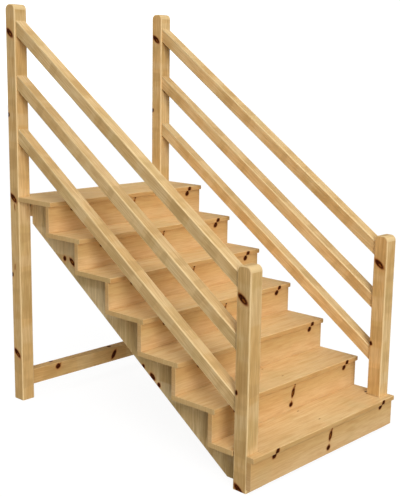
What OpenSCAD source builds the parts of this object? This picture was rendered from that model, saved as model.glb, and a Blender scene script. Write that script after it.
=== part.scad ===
// Straight flight of timber steps up to a deck, with a post and three sloping rails on each side.
// Frame: +X to the right of a person facing the flight, +Y towards the deck, +Z up,
// origin on the ground at the middle of the flight's width and depth. Millimetres.

/* [Flight] */
// Height from one tread top to the next
rise = 186; // [160:1:200]
// Level distance from one nosing to the next
run = 269; // [240:1:320]
// Length of every tread and riser, side to side
tread_len = 1310; // [1000:2:1500]
// How far the first rise is taller than the others
ground_gap = 18; // [6:1:40]
// Height of the lowest riser board's lower edge above the ground
first_riser_z = 24; // [6:1:40]

/* [Boards] */
// Thickness of the tread boards
tread_t = 28; // [22:1:38]
// Thickness of the riser boards
riser_t = 30; // [20:1:38]
// How far each tread reaches past the front of its riser
nosing = 16; // [8:1:25]
// Radius of the eased front edges of the treads
nose_r = 5; // [2:1:9]

/* [Posts] */
// Side of the square posts
post_w = 90; // [70:1:100]
// Radius of the posts' upright edges
post_r = 7; // [3:1:12]
// Radius of the crown at the front and back of each post top
crown_r = 32; // [15:1:34]
// Height of the front posts above the ground
front_post_h = 1177; // [1100:1:1300]
// Height of the rear posts above the ground
rear_post_h = 2477; // [2400:1:2700]
// Clearance round a post where a tread is notched for it
notch_gap = 5; // [2:1:10]

/* [Rails] */
// Side of the square sloping rails
rail_w = 72; // [45:1:74]
// Radius of the rails' long edges
rail_r = 6; // [3:1:9]
// Top of the upper rail above the line of the nosings, measured upright
handrail_h = 842; // [800:2:870]
// Upright distance from one rail to the next
rail_pitch = 321; // [260:1:330]

/* [Stringers and cross members] */
// Thickness of the two sawtooth stringers
stringer_t = 45; // [38:1:60]
// Wood left under the inner corners of a stringer, measured square to the slope
throat = 109; // [90:1:125]
// How far the stringers stop short of the rear posts' front faces
stringer_stop = 16; // [8:1:30]
// Height of the cross members' section
cross_h = 98; // [70:1:110]
// Depth of the cross members' section, front to back
cross_d = 66; // [45:1:70]
// Underside of the low cross member above the ground
low_cross_z = 89; // [60:1:200]

/* [Hidden] */
$fn = 48;
steps = 7;
half = tread_len / 2;
slope = atan(rise / run);
front_y = nosing + riser_t;                       // front faces of the front posts
rear_y = steps * run + nosing + riser_t;          // front faces of the rear posts
depth = rear_y + post_w;                          // whole depth on the ground
post_in = half - post_w;                          // inner faces of the posts
top_z = ground_gap + steps * rise;                // walking level of the top tread
function tread_z(k) = ground_gap + k * rise;      // top of tread k
function nose_y(k) = (k - 1) * run;               // front of tread k
function nose_line(y) = ground_gap + rise + y * rise / run;
oak = "#d8a565";
side = "#cf9c60";
shade = "#b99566";
post_c = "#c39a63";

// Everything below is laid out with Y = 0 at the first nosing, then centred in depth.
module placed() { translate([0, -depth / 2, 0]) children(); }

// A flat shape drawn in the Y-Z plane, given a thickness t along X from x0.
module slab_x(x0, t) { translate([x0, 0, 0]) rotate([90, 0, 90]) linear_extrude(height = t) children(); }

// Rectangle with four true round corners.
module round_rect(w, h, r) {
    union() {
        translate([r, 0]) square([w - 2 * r, h]);
        translate([0, r]) square([w, h - 2 * r]);
        for (x = [r, w - r], y = [r, h - r]) translate([x, y]) circle(r = r);
    }
}

// Section of a tread: square at the back, eased at the two front edges.
module tread_section(d) {
    union() {
        translate([nose_r, 0]) square([d - nose_r, tread_t]);
        translate([0, nose_r]) square([nose_r * 2, tread_t - 2 * nose_r]);
        for (z = [nose_r, tread_t - nose_r]) translate([nose_r, z]) circle(r = nose_r);
    }
}

// Opening for a post in a tread, from y0 to y1, on side s.
module post_notch(s, y0, y1) {
    x0 = s > 0 ? post_in - notch_gap : -half - 10;
    translate([x0, y0, 0]) cube([post_w + notch_gap + 10, y1 - y0, top_z + 50]);
}

module tread(k) {
    d = k == steps ? depth - nose_y(k) : run + nosing + riser_t;
    color(oak) placed() difference() {
        translate([0, nose_y(k), tread_z(k) - tread_t]) slab_x(-half, tread_len) tread_section(d);
        if (k == 1) for (s = [-1, 1]) post_notch(s, front_y, front_y + post_w + notch_gap);
        if (k == steps) for (s = [-1, 1]) post_notch(s, rear_y, depth + 10);
    }
}

module riser(k) {
    z0 = k == 1 ? first_riser_z : tread_z(k - 1);
    color(side) placed() translate([-half, nose_y(k) + nosing, z0])
        cube([tread_len, riser_t, tread_z(k) - tread_t - z0]);
}

// Side view of a stringer: saw teeth above, one straight edge below, a short foot and an upright rear cut.
module stringer_section() {
    y_end = rear_y - stringer_stop;
    drop = throat / cos(slope);
    corner_y = run + front_y;
    corner_z = tread_z(1) - tread_t;
    function low(y) = corner_z - drop + (y - corner_y) * rise / run;
    y_foot = corner_y - (corner_z - drop) * run / rise;
    polygon(concat(
        [[front_y, 0], [front_y, tread_z(1) - tread_t]],
        [for (k = [1:steps - 1], p = [0, 1])
            [k * run + front_y, tread_z(k + p) - tread_t]],
        [[y_end, top_z - tread_t], [y_end, low(y_end)], [y_foot, 0]]));
}

module stringer(s) {
    color(shade) placed() slab_x(s > 0 ? post_in - stringer_t : -post_in, stringer_t) stringer_section();
}

// Square post with round upright edges and a top rounded over at its front and back.
module post(s, y0, h) {
    x0 = s > 0 ? post_in : -half;
    color(post_c) placed() translate([x0, y0, 0]) intersection() {
        linear_extrude(height = h) round_rect(post_w, post_w, post_r);
        slab_x(-1, post_w + 2) union() {
            translate([-1, -1]) square([post_w + 2, h - crown_r + 1]);
            translate([crown_r, 0]) square([post_w - 2 * crown_r, h]);
            for (y = [crown_r, post_w - crown_r]) translate([y, h - crown_r]) circle(r = crown_r);
        }
    }
}

// Sloping rail n (0 is the upper one), cut upright against the front and rear posts.
module rail(s, n) {
    y0 = front_y + post_w;
    y1 = rear_y;
    x0 = (s > 0 ? post_in : -half) + (post_w - rail_w) / 2;
    z_top = nose_line(y0) + handrail_h - n * rail_pitch;
    long = (y1 - y0) / cos(slope) + 4 * rail_w;
    color(post_c) placed() intersection() {
        translate([x0, y0, z_top]) rotate([slope, 0, 0])
            translate([0, -2 * rail_w, -rail_w]) rotate([-90, 0, 0]) translate([0, -rail_w, 0])
                linear_extrude(height = long) round_rect(rail_w, rail_w, rail_r);
        translate([x0 - 1, y0, 0]) cube([rail_w + 2, y1 - y0, rear_post_h]);
    }
}

// Cross member between the inner faces of the rear posts.
module cross_member(y0, z0) {
    color(shade) placed() translate([0, y0, z0]) slab_x(-post_in, 2 * post_in) round_rect(cross_d, cross_h, 3);
}

module crossbar_low() { cross_member(rear_y + (post_w - cross_d) / 2, low_cross_z); }
module beam_top() { cross_member(rear_y - stringer_stop, top_z - tread_t - cross_h); }

tread(1);  // tread_1
tread(2);  // tread_2
tread(3);  // tread_3
tread(4);  // tread_4
tread(5);  // tread_5
tread(6);  // tread_6
tread(7);  // tread_7
riser(1);  // riser_1
riser(2);  // riser_2
riser(3);  // riser_3
riser(4);  // riser_4
riser(5);  // riser_5
riser(6);  // riser_6
riser(7);  // riser_7
stringer(-1);  // stringer_left
stringer(1);  // stringer_right
post(-1, front_y, front_post_h);  // post_front_left
post(1, front_y, front_post_h);  // post_front_right
post(-1, rear_y, rear_post_h);  // post_rear_left
post(1, rear_y, rear_post_h);  // post_rear_right
rail(-1, 0);  // rail_left_top
rail(-1, 1);  // rail_left_middle
rail(-1, 2);  // rail_left_bottom
rail(1, 0);  // rail_right_top
rail(1, 1);  // rail_right_middle
rail(1, 2);  // rail_right_bottom
crossbar_low();
beam_top();
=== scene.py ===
import math

import bmesh
import bpy
from mathutils import Matrix, Vector


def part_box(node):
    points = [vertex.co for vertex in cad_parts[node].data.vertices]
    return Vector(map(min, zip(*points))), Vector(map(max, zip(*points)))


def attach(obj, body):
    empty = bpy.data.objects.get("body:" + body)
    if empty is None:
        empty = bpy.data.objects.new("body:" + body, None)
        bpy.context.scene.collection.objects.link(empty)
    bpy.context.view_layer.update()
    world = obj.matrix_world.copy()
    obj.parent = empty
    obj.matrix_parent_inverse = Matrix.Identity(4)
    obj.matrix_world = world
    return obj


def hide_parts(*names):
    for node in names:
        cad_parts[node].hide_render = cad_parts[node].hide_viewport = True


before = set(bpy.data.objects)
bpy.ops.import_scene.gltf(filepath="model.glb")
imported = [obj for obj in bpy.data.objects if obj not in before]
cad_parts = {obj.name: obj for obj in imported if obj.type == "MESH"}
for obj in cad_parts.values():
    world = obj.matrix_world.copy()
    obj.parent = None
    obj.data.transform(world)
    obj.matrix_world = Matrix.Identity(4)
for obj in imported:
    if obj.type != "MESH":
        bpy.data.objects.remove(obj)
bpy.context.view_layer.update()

scene = bpy.context.scene
STEPS = 7
SIDES = ("left", "right")

# ---------------------------------------------------------------- frame measures
BOX = {n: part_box(n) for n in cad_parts}


def lo(n):
    return BOX[n][0]


def hi(n):
    return BOX[n][1]


RUN = (lo("tread_7").y - lo("tread_1").y) / (STEPS - 1)
RISE = (hi("tread_7").z - hi("tread_1").z) / (STEPS - 1)
SLOPE = math.atan2(RISE, RUN)
POST_W = hi("post_front_left").x - lo("post_front_left").x
CROWN_R = 0.032


# ---------------------------------------------------------------- mesh helpers
# Face numbers used by the grain: 0 top, 1 front, 2 left, 3 right, 4 underside, 5 rear.
def face_number(n):
    ax = max(range(3), key=lambda i: abs(n[i]))
    if ax == 2:
        return 0 if n.z > 0 else 4
    if ax == 1:
        return 1 if n.y < 0 else 5
    return 2 if n.x < 0 else 3


def extrude(points, axis, a, b):
    """A prism from a closed outline. axis 'x': outline is (y, z); axis 'z': outline is (x, y)."""
    bm = bmesh.new()
    rings = []
    for t in (a, b):
        ring = []
        for p, q in points:
            co = (t, p, q) if axis == "x" else (p, q, t)
            ring.append(bm.verts.new(co))
        rings.append(ring)
    bm.faces.new(rings[0])
    bm.faces.new(list(reversed(rings[1])))
    n = len(points)
    for i in range(n):
        j = (i + 1) % n
        bm.faces.new((rings[0][i], rings[1][i], rings[1][j], rings[0][j]))
    bmesh.ops.recalc_face_normals(bm, faces=bm.faces)
    return bm


def sharp_edges(bm, degrees=50):
    out = []
    for e in bm.edges:
        if len(e.link_faces) == 2 and e.calc_face_angle(0.0) > math.radians(degrees):
            out.append(e)
    return out


def ease(bm, edges, width, segments):
    bmesh.ops.bevel(
        bm, geom=edges, offset=width, offset_type="OFFSET", segments=segments,
        profile=0.5, affect="EDGES", clamp_overlap=True,
    )


def mark_grain(bm, u_dir, origin, u_origin, cross):
    """Writes the grain coordinates on every face corner: u along the fibres, v across, and the face number.
    cross gives, for each face number, the direction that v is measured in."""
    lay = bm.loops.layers.float_vector.new("grain")
    edge_lay = bm.loops.layers.float.new("edge")
    bm.normal_update()
    flat = {}
    for f in bm.faces:
        flat[f] = max(abs(c) for c in f.normal) > 0.9995 or abs(f.normal.dot(u_dir)) < 1e-4 and max(
            abs(f.normal.dot(d)) for d in cross.values()) > 0.9995
    for f in bm.faces:
        k = face_number(f.normal)
        d = cross[k]
        for loop in f.loops:
            p = loop.vert.co - origin
            loop[lay] = (p.dot(u_dir) + u_origin, p.dot(d), float(k))
            loop[edge_lay] = 0.0 if flat[f] else 1.0


def make_piece(node, bm, slot, seed, wood=None, body="root"):
    """inner: the face number that looks towards the middle of the stairs (9: none)."""
    inner = 3.0 if "_left" in node else 2.0 if "_right" in node else 9.0
    me = bpy.data.meshes.new(node + "_wood")
    bm.to_mesh(me)
    bm.free()
    at = me.attributes.new("seed", "FLOAT", "POINT")
    at.data.foreach_set("value", [seed] * len(me.vertices))
    at = me.attributes.new("inner", "FLOAT", "POINT")
    at.data.foreach_set("value", [inner] * len(me.vertices))
    me.shade_smooth()
    ob = bpy.data.objects.new(node + "_wood", me)
    scene.collection.objects.link(ob)
    me.materials.append(MATS[wood or slot])
    wn = ob.modifiers.new("face_weighted", "WEIGHTED_NORMAL")
    wn.keep_sharp = True
    wn.weight = 90
    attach(ob, body)
    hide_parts(node)
    return ob


X, Y, Z = Vector((1, 0, 0)), Vector((0, 1, 0)), Vector((0, 0, 1))
BOARD_CROSS = {0: Y, 1: Z, 2: Y, 3: Y, 4: Y, 5: Z}
RISER_CROSS = {0: Y, 1: Z, 2: Z, 3: Z, 4: Y, 5: Z}
POST_CROSS = {0: Y, 1: X, 2: Y, 3: Y, 4: Y, 5: X}

# ---------------------------------------------------------------- materials


class Tree:
    """A short way of writing node trees."""

    def __init__(self, name):
        self.mat = bpy.data.materials.new(name)
        self.mat.use_nodes = True
        self.t = self.mat.node_tree
        self.t.nodes.clear()

    def node(self, kind, **props):
        n = self.t.nodes.new(kind)
        for k, v in props.items():
            setattr(n, k, v)
        return n

    def put(self, sock, val):
        if isinstance(val, bpy.types.NodeSocket):
            self.t.links.new(val, sock)
        else:
            sock.default_value = val

    def math(self, op, a, b=None, c=None, clamp=False):
        n = self.node("ShaderNodeMath", operation=op, use_clamp=clamp)
        for s, v in zip(n.inputs, (a, b, c)):
            if v is not None:
                self.put(s, v)
        return n.outputs[0]

    def ramp(self, val, a0, a1, b0=0.0, b1=1.0, kind="SMOOTHSTEP"):
        n = self.node("ShaderNodeMapRange", interpolation_type=kind)
        for s, v in zip(n.inputs, (val, a0, a1, b0, b1)):
            self.put(s, v)
        return n.outputs[0]

    def mix(self, fac, a, b, kind="MIX"):
        n = self.node("ShaderNodeMix", data_type="RGBA", blend_type=kind)
        n.clamp_factor = True
        self.put(n.inputs[0], fac)
        for s, v in ((n.inputs[6], a), (n.inputs[7], b)):
            if isinstance(v, tuple):
                v = (*v, 1.0)
            self.put(s, v)
        return n.outputs[2]

    def noise(self, vec, scale, detail=2.0, rough=0.5, distortion=0.0):
        n = self.node("ShaderNodeTexNoise", noise_dimensions="3D")
        self.put(n.inputs["Vector"], vec)
        n.inputs["Scale"].default_value = scale
        n.inputs["Detail"].default_value = detail
        n.inputs["Roughness"].default_value = rough
        n.inputs["Distortion"].default_value = distortion
        return n.outputs["Fac"]

    def scaled(self, vec, s):
        n = self.node("ShaderNodeVectorMath", operation="MULTIPLY")
        self.put(n.inputs[0], vec)
        n.inputs[1].default_value = s
        return n.outputs[0]


def srgb(r, g, b):
    def f(c):
        c /= 255.0
        return c / 12.92 if c <= 0.04045 else ((c + 0.055) / 1.055) ** 2.4
    return (f(r), f(g), f(b))


def pine(name, knots, base, tan, olive, line, lamella=0.0, patch=0.5, rings=55.0, streak=0.35, length_patch=2.2,
         depth=1.0, edge_highlight=0.35, tint=(1.0, 1.0, 1.0), late_weight=0.5, streak_scale=(5.0, 60.0), bands=0.0,
         plain_ends=True, end_tint=None, front_tint=None, riser_painted_shade=None,
         fine=0.45, inner_bounce_light=None):
    """Planed knotty softwood. knots: (u, v, face, half length, half width, turn in degrees, 'dark', 'brown' or 'core')."""
    T = Tree(name)
    grain = T.node("ShaderNodeAttribute", attribute_name="grain").outputs["Vector"]
    seed = T.node("ShaderNodeAttribute", attribute_name="seed").outputs["Fac"]
    edge = T.node("ShaderNodeAttribute", attribute_name="edge").outputs["Fac"]
    sep = T.node("ShaderNodeSeparateXYZ")
    T.put(sep.inputs[0], grain)
    u, v, f = sep.outputs
    layer = T.math("ADD", T.math("MULTIPLY", f, 3.7), T.math("MULTIPLY", seed, 11.3))
    comb = T.node("ShaderNodeCombineXYZ")
    for s, val in zip(comb.inputs, (u, v, layer)):
        T.put(s, val)
    Q = comb.outputs[0]

    # knots: distance in knot radii, the edges of the knots roughened a little
    wob = T.node("ShaderNodeTexNoise", noise_dimensions="3D")
    T.put(wob.inputs["Vector"], Q)
    wob.inputs["Scale"].default_value = 70.0
    wob.inputs["Detail"].default_value = 1.0
    off = T.node("ShaderNodeVectorMath", operation="MULTIPLY_ADD")
    T.put(off.inputs[0], wob.outputs["Color"])
    off.inputs[1].default_value = (0.004, 0.004, 0.0)
    T.put(off.inputs[2], grain)
    shifted = T.node("ShaderNodeVectorMath", operation="SUBTRACT")
    T.put(shifted.inputs[0], off.outputs[0])
    shifted.inputs[1].default_value = (0.002, 0.002, 0.0)
    dark = brown = core = None
    for (ku, kv, kf, ka, kb, turn, kind) in knots:
        m = T.node("ShaderNodeMapping", vector_type="TEXTURE")
        T.put(m.inputs["Vector"], shifted.outputs[0])
        m.inputs["Location"].default_value = (ku, kv, kf)
        m.inputs["Rotation"].default_value = (0.0, 0.0, math.radians(turn))
        m.inputs["Scale"].default_value = (ka, kb, 0.08)
        ln = T.node("ShaderNodeVectorMath", operation="LENGTH")
        T.put(ln.inputs[0], m.outputs[0])
        d = ln.outputs["Value"]
        if kind == "dark":
            dark = d if dark is None else T.math("SMOOTH_MIN", dark, d, 0.35)
        elif kind == "core":
            core = d if core is None else T.math("MINIMUM", core, d)
        else:
            brown = d if brown is None else T.math("SMOOTH_MIN", brown, d, 0.35)
    far = 9.0
    dark = far if dark is None else dark
    brown = far if brown is None else brown
    core = far if core is None else core
    near = T.math("MINIMUM", dark, brown)
    bulge = T.ramp(near, 0.6, 3.6, 1.0, 0.0)

    # growth rings: thin darker late-wood lines that wander, and swing round the knots
    low = T.noise(T.scaled(Q, (0.9, 5.0, 1.0)), 1.0, 3.0, 0.55)
    mid = T.noise(T.scaled(Q, (3.5, 22.0, 1.0)), 1.0, 2.0, 0.5)
    ring_pos = T.math("ADD", T.math("MULTIPLY", v, rings), T.math("MULTIPLY", low, 9.0))
    ring_pos = T.math("ADD", ring_pos, T.math("MULTIPLY", mid, 1.3))
    ring_pos = T.math("ADD", ring_pos, T.math("MULTIPLY", bulge, 3.0))
    wave = T.math("SINE", T.math("MULTIPLY", ring_pos, 6.2832))
    late = T.ramp(wave, 0.1, 1.0, 0.0, 1.0)
    late_amount = T.ramp(T.noise(T.scaled(Q, (1.4, 9.0, 1.0)), 1.0, 2.0), 0.35, 0.68, 0.15, 1.0)
    late = T.math("MULTIPLY", late, late_amount)
    if plain_ends:
        # the sawn ends (faces 2 and 3) show hardly any figure
        on_end = T.math("COMPARE", f, 2.5, 0.6)
        quiet = T.math("SUBTRACT", 1.0, T.math("MULTIPLY", on_end, 0.85))
        late = T.math("MULTIPLY", late, quiet)

    # broad colour: cream, tan and olive patches stretched along the fibres, and slow changes along the length
    big = T.noise(T.scaled(Q, (length_patch, 7.0, 1.0)), 1.0, 2.0, 0.45)
    big = T.ramp(big, 0.34, 0.66, 0.0, 1.0)
    col = T.mix(T.math("MULTIPLY", big, patch), base, tan)
    cool = T.noise(T.scaled(Q, (length_patch * 1.9, 4.0, 1.7)), 1.0, 2.0, 0.5)
    cool = T.ramp(cool, 0.46, 0.7, 0.0, 1.0)
    col = T.mix(T.math("MULTIPLY", cool, 0.7), col, olive)
    streaks = T.noise(T.scaled(Q, (streak_scale[0], streak_scale[1], 1.0)), 1.0, 3.0, 0.55)
    streaky = T.math("MULTIPLY", T.ramp(streaks, 0.44, 0.74, 0.0, 1.0), streak)
    if plain_ends:
        streaky = T.math("MULTIPLY", streaky, quiet)
    col = T.mix(streaky, col, line)
    col = T.mix(T.math("MULTIPLY", late, streak * late_weight), col, line)
    if bands:
        # paler and darker lengths with fairly sudden changes, as where the timber is finger-jointed
        b1 = T.noise(T.scaled(Q, (6.5, 1.2, 1.0)), 1.0, 1.0, 0.5)
        col = T.mix(T.ramp(b1, 0.53, 0.60, 0.0, bands), col, srgb(240, 214, 166))
        col = T.mix(T.ramp(b1, 0.46, 0.40, 0.0, bands), col, srgb(188, 152, 96))
    if lamella:
        # edge-glued strips: each strip keeps its own tone, with a hairline joint
        cell = T.math("DIVIDE", v, lamella)
        idx = T.math("FLOOR", cell)
        wn = T.node("ShaderNodeTexWhiteNoise", noise_dimensions="3D")
        c2 = T.node("ShaderNodeCombineXYZ")
        along = T.math("FLOOR", T.math("ADD", T.math("DIVIDE", u, 0.62), T.math("MULTIPLY", T.math("MODULO", idx, 2.0), 0.5)))
        for s, val in zip(c2.inputs, (T.math("ADD", idx, 0.5), T.math("ADD", along, 0.5), layer)):
            T.put(s, val)
        T.put(wn.inputs["Vector"], c2.outputs[0])
        tone = T.ramp(wn.outputs["Value"], 0.0, 1.0, 0.93, 1.05, "LINEAR")
        hsv = T.node("ShaderNodeHueSaturation")
        T.put(hsv.inputs["Color"], col)
        T.put(hsv.inputs["Value"], tone)
        col = hsv.outputs[0]
    # fine lengthwise lines, about as wide as a year's growth
    lines = T.noise(T.scaled(Q, (7.0, 150.0, 1.0)), 1.0, 2.0, 0.6)
    col = T.mix(T.ramp(lines, 0.42, 0.68, 0.0, fine), col, T.mix(0.6, col, line))
    col = T.mix(T.ramp(lines, 0.46, 0.30, 0.0, fine * 0.6), col, T.mix(0.5, col, srgb(255, 232, 190)))
    fibre = T.noise(T.scaled(Q, (28.0, 700.0, 1.0)), 1.0, 2.0, 0.6)
    col = T.mix(T.ramp(fibre, 0.3, 0.7, 0.0, 0.34), col, T.mix(0.5, col, line))

    if end_tint:
        # sawn ends are a little darker and redder than the faces
        col = T.mix(T.math("COMPARE", f, 2.5, 0.6), col, T.mix(1.0, col, end_tint, "MULTIPLY"))
    if inner_bounce_light:
        # painted light: faces turned towards the middle of the stairs are made lighter and warmer, standing in for
        # light bounced off the treads
        inner = T.node("ShaderNodeAttribute", attribute_name="inner").outputs["Fac"]
        col = T.mix(T.math("COMPARE", f, inner, 0.4), col, T.mix(1.0, col, inner_bounce_light, "MULTIPLY"))
    if front_tint:
        col = T.mix(T.math("COMPARE", f, 1.0, 0.4), col, T.mix(1.0, col, front_tint, "MULTIPLY"))
    if riser_painted_shade:
        # painted shade and light: each riser is painted darker and warmer towards the top, under the nosing, and
        # paler and cooler at the foot
        shade_toward_top = T.ramp(T.math("ADD", v, T.math("MULTIPLY", low, 0.03)), 0.03, 0.145)
        col = T.mix(1.0, col, T.mix(shade_toward_top, riser_painted_shade[0], riser_painted_shade[1]), "MULTIPLY")

    # knots: pale pinkish halo, red-brown rim, black-brown heart with a cracked centre
    halo = T.ramp(near, 1.0, 2.2, 0.4, 0.0)
    col = T.mix(halo, col, srgb(214, 152, 88))
    shell = T.ramp(brown, 0.9, 1.35, 0.85, 0.0)
    col = T.mix(shell, col, srgb(140, 82, 34))
    soft = T.ramp(brown, 0.5, 0.95, 0.9, 0.0)
    col = T.mix(soft, col, srgb(168, 104, 44))
    rim = T.ramp(dark, 0.95, 1.5, 0.95, 0.0)
    col = T.mix(rim, col, srgb(134, 66, 16))
    heart = T.ramp(dark, 0.78, 1.1, 1.0, 0.0)
    speck = T.noise(T.scaled(Q, (160.0, 160.0, 1.0)), 1.0, 2.0)
    col = T.mix(heart, col, T.mix(T.ramp(speck, 0.4, 0.75), srgb(48, 17, 3), srgb(98, 44, 12)))
    col = T.mix(T.ramp(core, 0.5, 1.2, 0.85, 0.0), col, srgb(152, 86, 30))

    # rounded edges: a little rougher from wear, and painted paler as a painted highlight along them
    wear_and_highlight = T.math("MULTIPLY", T.math("MULTIPLY", edge, T.math("SUBTRACT", 1.0, heart)), T.ramp(T.noise(T.scaled(Q, (9.0, 9.0, 1.0)), 1.0, 2.0), 0.3, 0.6, 0.5, 1.0))
    col = T.mix(T.math("MULTIPLY", wear_and_highlight, edge_highlight), col, srgb(240, 212, 160))
    col = T.mix(1.0, col, tint, "MULTIPLY")

    # relief
    h = T.math("ADD", T.math("MULTIPLY", fibre, 0.35), T.math("MULTIPLY", late, 0.5))
    h = T.math("SUBTRACT", h, T.math("MULTIPLY", heart, 0.9))
    h = T.math("ADD", h, T.math("MULTIPLY", streaks, 0.4))
    bump = T.node("ShaderNodeBump")
    bump.inputs["Strength"].default_value = 0.22 * depth
    bump.inputs["Distance"].default_value = 0.0012
    T.put(bump.inputs["Height"], h)

    rough = T.ramp(T.noise(T.scaled(Q, (4.0, 30.0, 1.0)), 1.0, 2.0), 0.3, 0.7, 0.46, 0.62)
    rough = T.math("ADD", rough, T.math("MULTIPLY", wear_and_highlight, 0.06))
    rough = T.math("ADD", rough, T.math("MULTIPLY", heart, 0.25))

    bsdf = T.node("ShaderNodeBsdfPrincipled")
    T.put(bsdf.inputs["Base Color"], col)
    T.put(bsdf.inputs["Roughness"], rough)
    T.put(bsdf.inputs["Normal"], bump.outputs[0])
    T.put(bsdf.inputs["Specular IOR Level"], T.math("SUBTRACT", 0.30, T.math("MULTIPLY", heart, 0.24)))
    out = T.node("ShaderNodeOutputMaterial")
    T.t.links.new(bsdf.outputs[0], out.inputs["Surface"])
    return T.mat


CREAM = srgb(226, 190, 136)
TAN = srgb(214, 168, 110)
OLIVE = srgb(208, 178, 120)
LINE = srgb(190, 138, 82)

# Knot lists: (u, v, face, half length, half width, turn, kind); u and v in metres on the piece's own faces.
POST_KNOTS = []
RISER_KNOTS = []
TREAD_KNOTS = []
RAIL_KNOTS = []
STRINGER_KNOTS = []
CROSS_KNOTS = []

# KNOT LISTS BEGIN
for n in (0, 1):
    # a pair that joins at the nosing: the lower part is on the riser, the upper one on the tread's front edge
    RISER_KNOTS += [(n + 0.1865, 0.136, 1, 0.0165, 0.0130, 25, "dark"), (n + 0.1905, 0.153, 1, 0.0110, 0.0070, 70, "dark")]
    TREAD_KNOTS += [(n + 0.1940, 0.0125, 1, 0.0190, 0.0130, 62, "dark")]
RISER_KNOTS += [
    (0.7025, 0.1500, 1, 0.0065, 0.0045, 30, "dark"), (0.6970, 0.1350, 1, 0.0090, 0.0070, 60, "brown"),
    (0.6840, 0.1035, 1, 0.0270, 0.0125, 74, "dark"), (0.6825, 0.1010, 1, 0.0160, 0.0055, 72, "core"),
    (0.6680, 0.0360, 1, 0.0150, 0.0125, 20, "dark"), (0.6720, 0.0490, 1, 0.0080, 0.0060, 80, "brown"),
    (0.42, 0.060, 5, 0.0140, 0.0110, 0, "dark"), (0.96, 0.110, 5, 0.0150, 0.0100, 30, "dark"),
]
TREAD_KNOTS += [
    (0.680, 0.092, 0, 0.0080, 0.0035, 10, "brown"), (0.690, 0.250, 0, 0.0070, 0.0035, 10, "brown"),
    (0.330, 0.120, 4, 0.0140, 0.0110, 0, "dark"),
]
FIRST_TREAD_KNOTS = TREAD_KNOTS + [(1.243, 0.158, 0, 0.0085, 0.0065, 0, "dark")]
for n in (0, 1, 2):
    # the outer face carries a long slanting knot every metre down from the top, with a small one half-way between
    POST_KNOTS += [
        (-0.1675 - n, 0.0500, 2, 0.0350, 0.0150, 51, "dark"), (-0.1755 - n, 0.0430, 2, 0.0150, 0.0055, 50, "core"),
        (-0.655 - n, 0.080, 2, 0.0125, 0.0095, 0, "dark"),
    ]
POST_KNOTS += [
    (-1.222, 0.041, 2, 0.0200, 0.0050, 8, "brown"), (-1.604, 0.052, 2, 0.0190, 0.0045, -6, "brown"),
    (-0.420, 0.030, 3, 0.0140, 0.0100, 30, "dark"), (-1.390, 0.060, 3, 0.0140, 0.0100, 30, "dark"),
    (-0.880, 0.050, 5, 0.0130, 0.0100, 0, "dark"),
]
STRINGER_KNOTS += [
    (0.974, 1.549, 2, 0.0150, 0.0130, 0, "dark"), (0.962, 1.478, 2, 0.0290, 0.0130, 50, "dark"),
    (0.962, 1.478, 2, 0.0130, 0.0050, 50, "core"),
    (0.455, 0.853, 2, 0.0130, 0.0120, 0, "dark"), (0.413, 0.777, 2, 0.0230, 0.0140, 50, "dark"),
    (0.376, 0.726, 2, 0.0130, 0.0120, 0, "dark"), (0.700, 1.120, 3, 0.0160, 0.0130, 20, "dark"),
    (0.300, 0.640, 3, 0.0160, 0.0130, 20, "dark"),
]
CROSS_KNOTS += [
    (0.206, 0.074, 1, 0.0190, 0.0160, 20, "dark"), (0.222, 0.086, 1, 0.0100, 0.0060, 30, "brown"), (0.188, 0.056, 0, 0.0150, 0.0100, 0, "dark"),
    (0.684, 0.038, 0, 0.0160, 0.0100, 0, "dark"), (0.697, 0.048, 1, 0.0320, 0.0140, 58, "dark"),
]
# KNOT LISTS END

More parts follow.
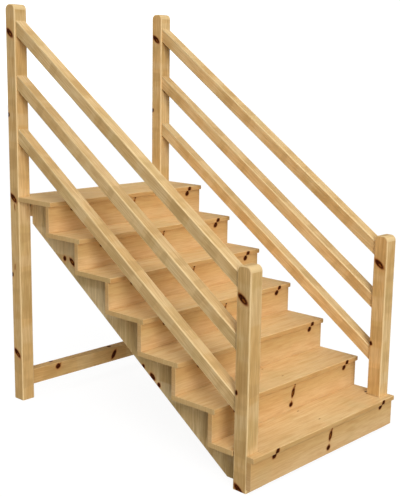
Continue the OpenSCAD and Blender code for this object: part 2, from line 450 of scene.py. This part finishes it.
MATS = {
    "treads": pine("pine_treads", TREAD_KNOTS, srgb(240, 202, 148), srgb(230, 180, 120), srgb(224, 188, 132), srgb(204, 146, 84),
                   streak=0.45, streak_scale=(6.0, 42.0), late_weight=0.35, tint=(0.99, 1.065, 1.08), end_tint=(0.78, 0.74, 0.66), front_tint=(0.76, 0.67, 0.54), edge_highlight=0.15),
    "first_tread": pine("pine_first_tread", FIRST_TREAD_KNOTS, srgb(240, 202, 148), srgb(230, 180, 120), srgb(224, 188, 132), srgb(204, 146, 84),
                   streak=0.45, streak_scale=(6.0, 42.0), late_weight=0.35, tint=(0.99, 1.065, 1.08), end_tint=(0.78, 0.74, 0.66), front_tint=(0.76, 0.67, 0.54), edge_highlight=0.15),
    # risers: the last tint pair paints shade at the top of each riser and light at its foot
    "risers": pine("pine_risers", RISER_KNOTS, srgb(240, 202, 148), srgb(232, 184, 126), srgb(226, 192, 138), srgb(206, 150, 90),
                   streak=0.40, streak_scale=(6.0, 42.0), late_weight=0.3, tint=(0.805, 0.795, 0.71), end_tint=(0.93, 0.92, 0.93), riser_painted_shade=((1.07, 1.10, 1.22), (0.96, 0.93, 0.85))),
    "stringers": pine("pine_stringers", STRINGER_KNOTS, srgb(206, 174, 122), srgb(184, 146, 90), srgb(178, 150, 98), srgb(148, 112, 64),
                      streak=0.5, patch=0.9, plain_ends=False, bands=0.3, tint=(1.30, 1.39, 1.56)),
    # posts and rails: the inner tint paints bounced light on their faces turned towards the stairs
    "posts": pine("pine_posts", POST_KNOTS, srgb(240, 206, 148), srgb(216, 174, 108), srgb(208, 180, 120), srgb(184, 140, 82),
                  streak=0.42, patch=0.75, edge_highlight=0.9, plain_ends=False, bands=0.38, fine=0.7, inner_bounce_light=(1.09, 1.045, 1.0), tint=(0.92, 0.895, 0.865)),
    "rails": pine("pine_rails", RAIL_KNOTS, srgb(240, 208, 154), srgb(220, 180, 118), srgb(214, 188, 132), srgb(192, 150, 92),
                  streak=0.42, patch=0.7, edge_highlight=0.9, plain_ends=False, bands=0.38, fine=0.7, inner_bounce_light=(1.09, 1.045, 1.0), tint=(0.95, 0.94, 0.93)),
    "cross_members": pine("pine_cross_members", CROSS_KNOTS, srgb(238, 200, 144), srgb(216, 170, 110), srgb(208, 174, 118), srgb(182, 134, 80),
                          streak=0.4, patch=0.8, bands=0.3, tint=(0.87, 0.835, 0.72)),
}

# ---------------------------------------------------------------- treads
for k in range(1, STEPS + 1):
    name = "tread_%d" % k
    a, b = lo(name), hi(name)
    if k == 1:
        p = BOX["post_front_left"]
        gap = 0.005
        nx, y0, y1 = p[1].x + gap, p[0].y, p[1].y + gap
        pts = [(a.x, a.y), (b.x, a.y), (b.x, y0), (-nx, y0), (-nx, y1), (b.x, y1), (b.x, b.y),
               (a.x, b.y), (a.x, y1), (nx, y1), (nx, y0), (a.x, y0)]
    elif k == STEPS:
        p = BOX["post_rear_left"]
        nx, y0 = p[1].x + 0.005, p[0].y
        pts = [(a.x, a.y), (b.x, a.y), (b.x, y0), (-nx, y0), (-nx, b.y), (nx, b.y), (nx, y0), (a.x, y0)]
    else:
        pts = [(a.x, a.y), (b.x, a.y), (b.x, b.y), (a.x, b.y)]
    bm = extrude(pts, "z", a.z, b.z)
    front = [e for e in bm.edges if all(abs(v.co.y - a.y) < 1e-5 for v in e.verts) and abs(e.verts[0].co.z - e.verts[1].co.z) < 1e-6]
    ease(bm, front, 0.0048, 4)
    ease(bm, sharp_edges(bm), 0.0014, 2)
    mark_grain(bm, X, a, 0.0, BOARD_CROSS)
    make_piece(name, bm, "treads", 0.31 * k, "first_tread" if k == 1 else None)

# ---------------------------------------------------------------- risers
for k in range(1, STEPS + 1):
    name = "riser_%d" % k
    a, b = lo(name), hi(name)
    bm = extrude([(a.y, a.z), (b.y, a.z), (b.y, b.z), (a.y, b.z)], "x", a.x, b.x)
    ease(bm, sharp_edges(bm), 0.0013, 2)
    mark_grain(bm, X, a, 0.0, RISER_CROSS)
    make_piece(name, bm, "risers", 4.0 + 0.27 * k)

# ---------------------------------------------------------------- stringers
for i, s in enumerate(SIDES):
    name = "stringer_" + s
    a, b = lo(name), hi(name)
    fy = a.y
    pts = [(fy, 0.0), (fy, lo("tread_1").z)]
    for k in range(1, STEPS):
        yk = hi("riser_%d" % (k + 1)).y
        pts += [(yk, lo("tread_%d" % k).z), (yk, lo("tread_%d" % (k + 1)).z)]
    corner = Vector((hi("riser_2").y, lo("tread_1").z))
    drop = 0.109 / math.cos(SLOPE)

    def low_z(y):
        return corner.y - drop + (y - corner.x) * RISE / RUN
    pts += [(b.y, b.z), (b.y, low_z(b.y)), (corner.x - (corner.y - drop) * RUN / RISE, 0.0)]
    bm = extrude(pts, "x", a.x, b.x)
    ease(bm, sharp_edges(bm, 25), 0.0018, 2)
    mark_grain(bm, Z, a, 0.0, {0: Y, 1: X, 2: Y, 3: Y, 4: Y, 5: X})
    make_piece(name, bm, "stringers", 7.1 + 0.6 * i)

# ---------------------------------------------------------------- posts
for i, node in enumerate(("post_front_left", "post_front_right", "post_rear_left", "post_rear_right")):
    a, b = lo(node), hi(node)
    pts = [(a.y, a.z), (b.y, a.z)]
    n = 8
    for j in range(n + 1):
        t = math.radians(90.0 * j / n)
        pts.append((b.y - CROWN_R + CROWN_R * math.cos(t), b.z - CROWN_R + CROWN_R * math.sin(t)))
    for j in range(n + 1):
        t = math.radians(90.0 + 90.0 * j / n)
        pts.append((a.y + CROWN_R + CROWN_R * math.cos(t), b.z - CROWN_R + CROWN_R * math.sin(t)))
    bm = extrude(pts, "x", a.x, b.x)
    upright = [e for e in sharp_edges(bm) if max(v.co.z for v in e.verts) > a.z + 0.01]
    ease(bm, upright, 0.0068, 4)
    ease(bm, [e for e in sharp_edges(bm) if max(v.co.z for v in e.verts) < a.z + 0.002], 0.002, 2)
    mark_grain(bm, Z, Vector((a.x, a.y, b.z)), 0.0, POST_CROSS)
    make_piece(node, bm, "posts", 9.3 + 0.43 * i)

# ---------------------------------------------------------------- rails
ALONG = Vector((0, math.cos(SLOPE), math.sin(SLOPE)))
UP = Vector((0, -math.sin(SLOPE), math.cos(SLOPE)))
for i, s in enumerate(SIDES):
    for j, level in enumerate(("top", "middle", "bottom")):
        node = "rail_%s_%s" % (s, level)
        a, b = lo(node), hi(node)
        h = (b.x - a.x) / math.cos(SLOPE)
        z0, z1 = a.z + h, b.z
        bm = bmesh.new()
        verts = []
        for y, z in ((a.y, z0), (b.y, z1)):
            for x, dz in ((a.x, -h), (b.x, -h), (b.x, 0.0), (a.x, 0.0)):
                verts.append(bm.verts.new((x, y, z + dz)))
        bm.faces.new(verts[:4])
        bm.faces.new(verts[7:3:-1])
        for q in range(4):
            r = (q + 1) % 4
            bm.faces.new((verts[q], verts[q + 4], verts[r + 4], verts[r]))
        bmesh.ops.recalc_face_normals(bm, faces=bm.faces)
        long_edges = [e for e in bm.edges if abs(e.verts[0].co.y - e.verts[1].co.y) > 0.1]
        ease(bm, long_edges, 0.006, 4)
        bm.normal_update()
        cross = {0: X, 1: X, 2: UP, 3: UP, 4: X, 5: X}
        mark_grain(bm, ALONG, Vector((a.x, a.y, a.z)), 0.0, cross)
        make_piece(node, bm, "rails", 12.7 + 0.37 * (3 * i + j))

# ---------------------------------------------------------------- cross members
for i, node in enumerate(("crossbar_low", "beam_top")):
    a, b = lo(node), hi(node)
    bm = extrude([(a.y, a.z), (b.y, a.z), (b.y, b.z), (a.y, b.z)], "x", a.x, b.x)
    ease(bm, [e for e in sharp_edges(bm) if abs(e.verts[0].co.x - e.verts[1].co.x) > 0.1], 0.003, 3)
    mark_grain(bm, X, a, 0.0, RISER_CROSS)
    make_piece(node, bm, "cross_members", 16.2 + 0.5 * i)

# ---------------------------------------------------------------- staging: floor, light, camera
def pale(name, albedo, glow):
    T = Tree(name)
    d = T.node("ShaderNodeBsdfDiffuse")
    d.inputs["Color"].default_value = (*albedo, 1.0)
    e = T.node("ShaderNodeEmission")
    e.inputs["Strength"].default_value = glow
    add = T.node("ShaderNodeAddShader")
    T.t.links.new(d.outputs[0], add.inputs[0])
    T.t.links.new(e.outputs[0], add.inputs[1])
    out = T.node("ShaderNodeOutputMaterial")
    T.t.links.new(add.outputs[0], out.inputs["Surface"])
    return T.mat


def staging(name, corners, mat):
    me = bpy.data.meshes.new(name)
    me.from_pydata(corners, [], [(0, 1, 2, 3)])
    me.materials.append(mat)
    ob = bpy.data.objects.new(name, me)
    scene.collection.objects.link(ob)
    ob.visible_diffuse = False
    ob.visible_glossy = False
    ob.visible_shadow = False
    return ob


S = 40.0
staging("floor", [(-S, -S, -0.0005), (S, -S, -0.0005), (S, S, -0.0005), (-S, S, -0.0005)],
        pale("pale_floor", (0.12, 0.12, 0.12), 0.93))
wall = pale("pale_backdrop", (0.3, 0.3, 0.3), 1.0)
staging("backdrop_rear", [(-S, S, -1), (S, S, -1), (S, S, S), (-S, S, S)], wall)
staging("backdrop_front", [(S, -S, -1), (-S, -S, -1), (-S, -S, S), (S, -S, S)], wall)
staging("backdrop_right", [(S, S, -1), (S, -S, -1), (S, -S, S), (S, S, S)], wall)
staging("backdrop_left", [(-S, -S, -1), (-S, S, -1), (-S, S, S), (-S, -S, S)], wall)

world = bpy.data.worlds.new("studio")
world.use_nodes = True
world.node_tree.nodes["Background"].inputs["Color"].default_value = (1.0, 0.96, 0.84, 1.0)
world.node_tree.nodes["Background"].inputs["Strength"].default_value = 0.27
scene.world = world



def soft_sun(name, towards, strength, angle, color=(1, 1, 1)):
    """A very broad, even light: strength is what a white board square to it would show."""
    sun = bpy.data.lights.new(name, "SUN")
    sun.energy = strength * math.pi
    sun.angle = math.radians(angle)
    sun.color = color
    ob = bpy.data.objects.new(name, sun)
    ob.rotation_euler = (-Vector(towards)).to_track_quat("-Z", "Y").to_euler()
    scene.collection.objects.link(ob)
    return ob


soft_sun("low_front", (-0.45, -0.88, 0.12), 0.44, 30, (1.0, 1.0, 1.0))
soft_sun("high_front", (-0.45, -0.60, 0.66), 0.41, 30, (1.0, 1.0, 1.0))
soft_sun("overhead", (0.05, 0.0, 1.0), 0.30, 50, (1.0, 1.0, 1.0))

cam_data = bpy.data.cameras.new("camera")
cam = bpy.data.objects.new("camera", cam_data)
scene.collection.objects.link(cam)
yaw, pitch, roll = math.radians(46.8316), math.radians(-11.006), math.radians(0.8302)
fwd = Vector((math.sin(yaw) * math.cos(pitch), math.cos(yaw) * math.cos(pitch), math.sin(pitch)))
right = Vector((math.cos(yaw), -math.sin(yaw), 0.0))
up = right.cross(fwd)
r2 = right * math.cos(roll) + up * math.sin(roll)
u2 = up * math.cos(roll) - right * math.sin(roll)
rot = Matrix((r2, u2, -fwd)).transposed()
cam.matrix_world = Matrix.Translation(Vector((-3.9917, -3.7515, 2.1102))) @ rot.to_4x4()
cam_data.lens = 66.70
cam_data.sensor_width = 36.0
cam_data.sensor_fit = "AUTO"
cam_data.dof.use_dof = False
cam_data.clip_end = 100.0
scene.camera = cam

scene.view_settings.view_transform = "Standard"
scene.view_settings.look = "None"
scene.view_settings.exposure = 0.0
scene.view_settings.gamma = 1.0
